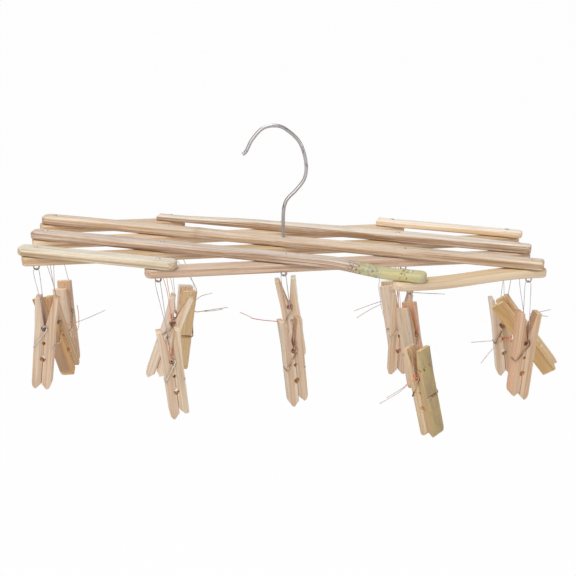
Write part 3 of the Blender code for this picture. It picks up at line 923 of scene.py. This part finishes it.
# Where a jaw's back isn't a paler tone of the same wood; one of them is a painted shade of its own wood
BACKS_AND_PAINTED_SHADE = {
    # peg_1b_left_jaw's brown back is painted shade: the colour of that face in shadow
    "peg_1b_left_jaw": (166, 132, 106), "peg_1c_right_jaw": (206, 174, 136),
    "peg_3a_left_jaw": (214, 196, 174), "peg_4a_right_jaw": (178, 152, 112),
    "peg_4b_left_jaw": (210, 190, 164), "peg_5a_left_jaw": (228, 184, 150),
    "peg_5b_left_jaw": (208, 168, 112), "peg_5b_right_jaw": (190, 148, 96),
}


def shade(colour, *factors):
    """The tone of a screen colour whose red, green and blue are multiplied, but never quite white."""
    return tone(*[min(c * factor, 250) for c, factor in zip(colour, factors)])


def jaw_tones(body, back=None):
    """Skin, body and streak; a back of the same wood is a little paler and greyer."""
    skin = tone(*back) if back else shade(body, 1.02, 1.04, 1.06)
    return skin, shade(body, 1.0, 1.0, 1.0), shade(body, 0.93, 0.87, 0.82)


def inside_tones(body):
    """The sawn face inside a handle is browner."""
    return shade(body, 1.04, 1.01, 0.97), shade(body, 1.0, 0.95, 0.89), shade(body, 0.94, 0.86, 0.78)


def painted_light_tones(body):
    """Wood in the notches, in the groove and on the handle's end is paler: painted light that lifts their
    shade and lights their edges.
    """
    return [shade(body, 1.12, 1.11, 1.10)] * 3


# %% [markdown]
# Each face of a jaw gets its finish before the rims are rounded, because it is still easy to tell by
# where it looks and how high it is. The rounding then passes the finish on to its new faces. A texture
# painted on the jaw could do the same, but would have to be painted again for each of the 32.

# %% Saw the jaws
# Jaws that differ from the usual: how much longer in mm their tip and their handle are, and the corner
# at the tip
ODD_JAWS = {
    "peg_1a_left_jaw": (0.8, 0.0, TIP_CORNER), "peg_1a_right_jaw": (0.8, 0.0, TIP_CORNER),
    "peg_1b_right_jaw": (-4.0, -4.0, TIP_CORNER),
    "peg_1c_left_jaw": (0.0, -3.0, TIP_CORNER), "peg_2b_left_jaw": (3.2, -3.0, TIP_CORNER),
    "peg_2a_left_jaw": (0.8, 0.0, TIP_CORNER), "peg_2a_right_jaw": (-2.2, 0.0, SQUARE_CORNER),
    "peg_3a_left_jaw": (0.6, 0.0, TIP_CORNER), "peg_3a_right_jaw": (-2.6, 0.0, TIP_CORNER),
    "peg_4c_left_jaw": (0.6, 0.0, SQUARE_CORNER), "peg_4c_right_jaw": (0.0, 0.0, SQUARE_CORNER),
    "peg_5a_left_jaw": (-1.2, 0.0, TIP_CORNER), "peg_5a_right_jaw": (1.5, 0.0, TIP_CORNER),
    "peg_5b_left_jaw": (0.0, 2.0, SQUARE_CORNER), "peg_4a_left_jaw": (-0.3, 0.0, SQUARE_CORNER),
}
# How wide and how eased a jaw may be: a share of the usual width, and mm
WIDTHS = (0.955, 1.0)
EASINGS = (0.28, 0.42)
EASING_STEPS = 2
EASED_ANGLE = math.radians(32)
JAW_GRAIN_STEP = Vector((41.0, 13.0, 0.0))
# Which of a jaw's three finishes a face gets
OUTSIDE = 0
INSIDE_HANDLE = 1
# Faces that get a paler finish as painted light
PAINTED_LIGHT_FACE = 2
# Levels in mm from the coil, and how far the groove reaches from its own
HANDLE_END = HANDLE_LENGTH - 3.0
SEAT_TOP = 3.4
SEAT_BOTTOM = -5.0
NOTCHES_START = -27.0
GROOVE_REACH = GROOVE_HALF + 0.1
# A normal's part along an axis is 1 where the face looks straight along it
STRAIGHT = 0.9
MOSTLY = 0.8
HALF = 0.5
PARTLY = 0.25
SLIGHTLY = 0.2


def face_finish(face, side):
    """Which finish a face of a sawn jaw gets, from where it looks and how high it is."""
    out = side * face.normal.x
    steep = abs(face.normal.z)
    level = face.calc_center_median().z / MM
    if out < -MOSTLY and level > coil_seat:
        return INSIDE_HANDLE
    in_a_notch = out < -SLIGHTLY or abs(out) < STRAIGHT and level < SEAT_BOTTOM
    hollow = abs(face.normal.y) < HALF and NOTCHES_START < level < SEAT_TOP and in_a_notch
    groove = out > 0 and abs(level + GROOVE_DROP) < GROOVE_REACH and steep > PARTLY
    handle_end = level > HANDLE_END and steep > MOSTLY
    # Notches, groove and handle end get the paler painted-light finish
    return PAINTED_LIGHT_FACE if hollow or groove or handle_end else OUTSIDE


def sawn_blank(outline, side, width):
    """The outline swept across the peg, with sharp edges."""
    work = bmesh.new()
    corners = [work.verts.new((side * x * MM, -width / 2 * MM, z * MM)) for x, z in outline]
    swept = bmesh.ops.extrude_face_region(work, geom=[work.faces.new(corners)])
    moved = [item for item in swept["geom"] if isinstance(item, bmesh.types.BMVert)]
    bmesh.ops.translate(work, vec=(0, width * MM, 0), verts=moved)
    bmesh.ops.recalc_face_normals(work, faces=work.faces)
    return work


def saw_jaw(peg, side, place, tip, body, seed):
    """One jaw: side is 1 for the right and -1 for the left."""
    name = peg + ("_right_jaw" if side > 0 else "_left_jaw")
    chance = random.Random(seed)
    longer_tip, longer_handle, tip_corner = ODD_JAWS.get(name, (0.0, 0.0, TIP_CORNER))
    outline = jaw_outline(tip + longer_tip, HANDLE_LENGTH + longer_handle, tip_corner)
    work = sawn_blank(outline, side, JAW_WIDTH * chance.uniform(*WIDTHS))
    for face in work.faces:
        face.material_index = face_finish(face, side)
    sharp = [edge for edge in work.edges if edge.calc_face_angle(0.0) > EASED_ANGLE]
    round_over(work, sharp, chance.uniform(*EASINGS) * MM, EASING_STEPS)
    shift = JAW_GRAIN_STEP * seed

    def grain(corner):
        return Vector((corner.z / MM, corner.y / MM, side * corner.x / MM - JAW_THICKNESS)) + shift

    note_grain(work, grain)
    rind = shifted_rind(JAW_RIND, shift.x) if name == RIND_JAW else None
    outside = wood(name + "_wood", jaw_tones(body, BACKS_AND_PAINTED_SHADE.get(name)), skin_depth=0.9, roughness=0.62,
                   contrast=0.26, rind=rind)
    inside = wood(name + "_inside", inside_tones(body), roughness=0.65, contrast=0.3)
    # Painted light: a paler finish that lifts the shade in the notches and the groove and lights the
    # handle's end
    painted_light_wood = wood(name + "_fresh_cut", painted_light_tones(body), roughness=0.7, contrast=0.12)
    jaw = add_piece(name + "_wood", work, place, peg if side < 0 else peg + "_right_jaw",
                    [outside, inside, painted_light_wood], smooth_below=34)
    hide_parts(name)
    return jaw


peg_places = {peg: peg_frame(peg) for peg in pegs}
for number, peg in enumerate(pegs):
    tip = tip_length(peg, peg_places[peg])
    left_body, right_body = JAW_TONES[peg]
    saw_jaw(peg, -1, peg_places[peg], tip, left_body, 2 * number + 1)
    saw_jaw(peg, 1, peg_places[peg], tip, right_body, 2 * number + 2)
print("jaws:", 2 * len(pegs))

# %% [markdown]
# ## Springs
#
# The spring is one wire: it lies in the groove on the left jaw's back, comes down the front to the
# coil, winds nearly three times, and goes out at the back to the right jaw's groove. The coil is a
# helix from a formula. When the peg is squeezed the jaws turn about the coil, so the wire is made in
# two lengths, and the second one rides on the right jaw.

# %% Wind the springs
leg_side = JAW_WIDTH / 2 + RUNNING_GAP + SPRING_WIRE / 2
leg_out = JAW_THICKNESS - GROOVE_DEPTH + RUNNING_GAP + SPRING_WIRE / 2
leg_angle = math.atan2(-GROOVE_DROP, leg_out)
leaving = leg_angle - math.acos(COIL_RADIUS / math.hypot(leg_out, GROOVE_DROP)) + math.tau
entering = math.pi - leaving
winding = leaving - entering + 2 * math.tau
COIL_STEPS = 64
# How far short of the jaw's side a leg ends, and how far before its corner it starts to bend, in mm
LEG_SHORT = 0.8
LEG_BEND = 0.9
BROWN_SPRINGS = ("peg_1b", "peg_2b", "peg_2c", "peg_3a", "peg_3b", "peg_4a", "peg_4b", "peg_5a", "peg_5c")


def coil_points():
    """The coil's helix from the left leg to the right one, in the peg's own axes."""
    points = []
    for k in range(COIL_STEPS + 1):
        angle = entering + winding * k / COIL_STEPS
        across = leg_side * (2 * k / COIL_STEPS - 1)
        points.append(Vector((COIL_RADIUS * math.cos(angle), across, COIL_RADIUS * math.sin(angle))))
    return points


def leg_points():
    """From the right jaw's groove up to where the leg meets the coil."""
    in_groove = Vector((leg_out, 0, -GROOVE_DROP))
    along_groove = Vector((0, 1, 0))
    along_leg = Vector((math.cos(leg_angle), 0, math.sin(leg_angle)))
    corner = in_groove + along_groove * leg_side
    bend = [corner - along_groove * LEG_BEND, corner - (along_groove + along_leg) * LEG_BEND / 3,
            corner - along_leg * LEG_BEND]
    return [in_groove - along_groove * (JAW_WIDTH / 2 - LEG_SHORT), in_groove, *bend]


def wind_spring(peg, place):
    """Both lengths of one spring; the left leg is the right one turned half round the peg's length."""
    finish = spring_brown if peg in BROWN_SPRINGS else spring_bright
    coil = coil_points()
    leg = leg_points()
    mirrored = [Vector((-point.x, -point.y, point.z)) for point in leg]
    first = [place @ (point * MM) for point in mirrored + coil]
    second = [place @ (point * MM) for point in [coil[-2], coil[-1]] + leg[::-1]]
    left = add_wire(peg + "_spring_coil", first, SPRING_WIRE * MM, peg, finish)
    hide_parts(peg + "_spring")
    add_wire(peg + "_spring_leg", second, SPRING_WIRE * MM, peg + "_right_jaw", finish)


for peg, place in peg_places.items():
    wind_spring(peg, place)
print("springs:", len(peg_places))

# %% [markdown]
# ## Loops
#
# Each peg hangs on one fine wire that goes up one side of the coil, through the pin's eye and back
# down. It spreads a little below the eye, because wire has a memory of its own. Both strands pass
# outside the handles, which would squeeze them otherwise. Two pegs lean so far over that their far
# strand goes round behind the right handle.

# %% Hang the loops
LOOP_WIRE = 0.46
LOOP_STEPS = 8
# The loop's place in the pin's eye, and two points of a strand as it spreads below the eye, in mm:
# towards the strand's own side, through the eye and up
EYE_SEAT = Vector((0, 0, -0.85))
NECK = Vector((0.75, -0.9, -1.5))
SHOULDER = Vector((1.9, -1.1, -4.6))
BORE_TOP = COIL_RADIUS - SPRING_WIRE / 2 - LOOP_WIRE / 2
strand_side = leg_side + SPRING_WIRE / 2 + 0.35
# Inside the coil: how far to each side of the peg's middle the wire touches the bore's top, in mm
IN_THE_BORE = (2.0, strand_side - 0.7)
# Beside the handles: how high above the coil a strand is, and how far out at least, in mm
BESIDE_THE_HANDLES = ((2.4, strand_side), (12.0, 6.8), (24.0, 6.0))
# Pegs whose far strand goes round behind the right handle, and the way that it takes, in the peg's axes
BEHIND = ("peg_1b", "peg_5b")
ROUND_THE_HANDLE = ((1.5, strand_side, 2.6), (9.2, 5.6, 7.0), (11.0, -1.0, 17.0))
COPPER_LOOPS = ("peg_2b", "peg_4b")
# Where the coil's axis points nearly at the camera, neither strand lies to a side
NEARLY_ALONG = 0.1


def strand_points(peg, place, hand):
    """One side of the loop in mm from the peg's eye, from inside the coil upwards; hand is -1 or 1."""
    eye = joint_place(peg + "_swing")
    eye_from_coil = (place.inverted() @ eye) / MM

    def from_peg(*point):
        return (place @ (Vector(point) * MM) - eye) / MM

    def below_eye(point):
        return Vector((point.x * opens, point.y * -hand, point.z))

    def beside(height, gap):
        """A point on the straight way to the eye, but clear of the jaws on its own side."""
        point = start.lerp(eye_from_coil, height / eye_from_coil.z)
        return from_peg(point.x, hand * max(point.y * hand, gap), height)

    sideways = (place.to_3x3() @ Vector((0, hand, 0))).x
    opens = math.copysign(1, sideways) if abs(sideways) > NEARLY_ALONG else hand
    start = Vector((0, hand * strand_side, 0))
    route = [from_peg(0, hand * reach, BORE_TOP) for reach in IN_THE_BORE]
    if peg in BEHIND and hand > 0:
        route += [from_peg(*point) for point in ROUND_THE_HANDLE]
    else:
        route += [beside(height, gap) for height, gap in BESIDE_THE_HANDLES]
    return [*route, below_eye(SHOULDER), below_eye(NECK)]


def hang_loop(peg, place):
    """A peg's loop, near strand first; gives back the points of its near strand."""
    eye = joint_place(peg + "_swing")
    near = strand_points(peg, place, -1)
    far = strand_points(peg, place, 1)
    round_trip = smooth_route([*near, EYE_SEAT, *far[::-1], near[0]], LOOP_STEPS)
    route = [eye + point * MM for point in round_trip]
    finish = copper if peg in COPPER_LOOPS else strand_grey
    add_wire(peg + "_loop", route, LOOP_WIRE * MM, peg, finish, 1)
    return route[:LOOP_STEPS * len(near)]


front_strands = {peg: hang_loop(peg, place) for peg, place in peg_places.items()}
print("loops:", len(peg_places))

# %% [markdown]
# ## Ties and tails
#
# Some loops are bound at the coil with a few turns of copper or iron wire, and its ends stick out
# untrimmed. A binding is a short helix. Each tail is a route in millimetres to the right of and above
# the peg's coil, at its own distance in front of it. One tail is up at the eye, so it moves with the
# pin and not with the peg.

# %% Bind the loops
TIE_WIRE = 0.42 * MM
TURN_STEPS = 10
# A hand-wound turn isn't round: the share by which its radius comes and goes, and how fast
UNEVEN = 0.12
UNEVEN_PACE = 1.7
# For each tie: its metal, its lowest and highest turn above the coil, its radius and its turns, in mm
TIES = {
    "peg_1a": ("pale", 1.4, 3.0, 0.6, 3), "peg_2a": ("copper", 1.2, 11.5, 0.62, 9),
    "peg_2b": ("copper", 1.6, 8.0, 0.65, 6), "peg_2c": ("copper", 1.4, 4.6, 0.8, 4),
    "peg_3a": ("red", 1.2, 8.2, 0.85, 6), "peg_3b": ("red", 1.2, 3.4, 0.7, 4),
    "peg_4a": ("copper", 1.2, 3.6, 1.2, 6), "peg_4b": ("copper", 1.4, 6.0, 0.7, 5),
    "peg_5a": ("red", 1.2, 3.6, 0.8, 4), "peg_5c": ("copper", 1.2, 3.2, 0.75, 3),
}


def bind(peg, place):
    """A helix round the front strand of a peg's loop."""
    metal_name, low, high, radius, turns = TIES[peg]
    strand = [(place.inverted() @ point) / MM for point in front_strands[peg]]
    points = []
    steps = turns * TURN_STEPS
    for k in range(steps + 1):
        height = low + (high - low) * k / steps
        below = [i for i, point in enumerate(strand[:-1]) if point.z <= height][-1]
        share = (height - strand[below].z) / (strand[below + 1].z - strand[below].z)
        angle = math.tau * k / TURN_STEPS
        wide = radius * (1 + UNEVEN * math.sin(k * UNEVEN_PACE))
        turn = Vector((wide * math.cos(angle), wide * math.sin(angle), 0))
        points.append(strand[below].lerp(strand[below + 1], share) + turn)
    route = [place @ (point * MM) for point in points]
    add_wire(peg + "_tie", route, TIE_WIRE, peg, tie_finishes[metal_name], 1)


for peg in TIES:
    bind(peg, peg_places[peg])
print("ties:", len(TIES))

# %% [markdown]
# A tail is stiff wire with a bend or two. Its route is a few points as the camera sees them, and a
# smooth line is laid through those, as for the hook.

# %% Let the tails stick out
# Peg, metal, how far in front of the coil, and the route to the right of and above the coil, in mm
TAILS = [
    ("peg_1c", "copper", 8.6, [(-9.5, -14.6), (-2.0, -13.0), (4.0, -12.0), (13.0, -8.7)]),
    ("peg_1c", "pale", 8.6, [(13.0, -8.7), (21.9, -4.6), (32.5, 0.7)]),
    ("peg_1c", "copper", 6.0, [(9.8, -17.5), (11.4, -12.0), (11.2, -2.0), (10.2, 4.3)]),
    ("peg_2d", "pale", 0.0, [(7.0, 9.6), (10.0, 12.6), (14.3, 15.7), (22.3, 18.2)]),
    ("peg_2c", "red", 2.0, [(5.0, 1.0), (7.0, 4.0), (9.5, 3.4), (17.0, 4.8)]),
    ("peg_2c", "pale", 2.0, [(17.0, 4.8), (24.1, 6.2), (33.4, 7.8)]),
    ("peg_2c", "pale", 2.4, [(15.0, 4.0), (22.1, 4.8), (29.4, 6.2)]),
    ("peg_2a", "copper", 1.0, [(-4.4, 13.0), (-2.8, 5.5), (-0.6, 1.3)]),
    ("peg_3a", "red", 0.0, [(-8.2, 20.1), (-20.5, 20.9), (-28.8, 22.0), (-31.0, 23.0)]),
    ("peg_3a", "pale", 0.0, [(-31.0, 23.0), (-33.0, 24.1), (-38.8, 26.5)]),
    ("peg_4a", "pale", 6.0, [(-6.1, -2.6), (-16.0, -10.6), (-24.9, -16.7)]),
    ("peg_4a", "pale", 6.5, [(-6.8, -1.7), (-15.9, -11.9), (-29.8, -21.4)]),
    ("peg_4a", "copper", 8.2, [(-12.4, -6.8), (-9.4, -4.8), (-6.6, -2.4), (-4.0, -0.8), (-3.0, -1.6)]),
    ("peg_4a", "copper", 8.4, [(-11.2, -6.2), (-8.4, -4.2), (-5.6, -1.2), (-3.4, -0.4)]),
    ("peg_4a", "pale", 1.8, [(-11.5, 62.6), (-2.0, 62.2), (12.2, 62.0)]),
    ("peg_4d", "pale", 0.0, [(-7.6, 6.8), (-16.9, 3.4), (-29.7, -2.1)]),
    ("peg_4d", "pale", 0.5, [(-7.6, 4.4), (-15.9, 0.0), (-27.3, -8.0)]),
    ("peg_5a", "pale", 0.0, [(2.2, 20.7), (8.8, 22.4), (17.0, 24.5)]),
    ("peg_5a", "pale", 0.3, [(2.3, 19.2), (9.6, 19.6), (15.4, 19.2)]),
    ("peg_5c", "copper", 6.2, [(-1.7, -10.8), (4.0, -13.4), (9.2, -15.6)]),
    ("peg_5c", "copper", 6.3, [(-1.3, -15.9), (4.0, -13.0), (8.8, -10.5)]),
    ("peg_5c", "pale", 6.0, [(-3.3, -14.3), (-13.5, -15.4), (-23.9, -16.5)]),
    ("peg_5c", "pale", 6.2, [(-2.1, -15.9), (-8.7, -24.7), (-15.0, -34.2)]),
]
TAIL_WIRE = 0.55 * MM
TAIL_STEPS = 8
# A tail that starts higher than this far below the eye is held by the pin
NEAR_THE_EYE = 5 * MM


def add_tail(name, peg, metal_name, in_front, route):
    """One tail; it is raised as it comes forward, because the camera looks down on it."""
    coil = joint_place(peg + "_squeeze")
    eye = joint_place(peg + "_swing")
    raised = in_front * math.tan(PITCH)
    points = smooth_route([coil + Vector((x, -in_front, z + raised)) * MM for x, z in route], TAIL_STEPS)
    at_eye = points[0].z > eye.z - NEAR_THE_EYE
    body = joints[peg + "_swing"]["parent"] if at_eye else peg
    add_wire(name, points, TAIL_WIRE, body, tie_finishes[metal_name], 1)


for number, (peg, *tail) in enumerate(TAILS):
    add_tail("%s_tail_%d" % (peg, number), peg, *tail)
print("tails:", len(TAILS))

# %% [markdown]
# ## The floor
#
# The hanger hangs in the air, so the floor is only there to be pale and to take a soft shadow. It
# shines white for the camera and for anything that mirrors it, and the rest of it is a plain surface
# that the lamps light.

# %% Lay the floor
FLOOR_LEVEL = -0.75
FLOOR_SIZE = 60.0
FLOOR_COLOUR = (0.97, 0.97, 0.97, 1.0)
FLOOR_GLOW = 0.97
# Which outputs of Light Path say that the camera sees the floor, or that something mirrors it
SEEN_BY_CAMERA = 0
MIRRORED = 3

bpy.ops.mesh.primitive_plane_add(size=FLOOR_SIZE, location=(0, 0, FLOOR_LEVEL))
floor = bpy.context.object
floor.name = "floor"
paper = Finish("paper", Roughness=0.9)
paper.feed(paper.shader.inputs["Base Color"], FLOOR_COLOUR)
seen = paper.node("ShaderNodeLightPath", output=SEEN_BY_CAMERA)
mirrored = paper.node("ShaderNodeLightPath", output=MIRRORED)
glow = paper.node("ShaderNodeEmission", None, {"Color": (1.0, 1.0, 1.0, 1.0), "Strength": 1.0})
plain = Value(paper, paper.shader.outputs[0])
share = seen.most(mirrored) * FLOOR_GLOW
surface = paper.node("ShaderNodeMixShader", None, {0: share, 1: plain, 2: glow})
paper.feed(paper.tree.nodes["Material Output"].inputs["Surface"], surface)
floor.data.materials.append(paper.material)
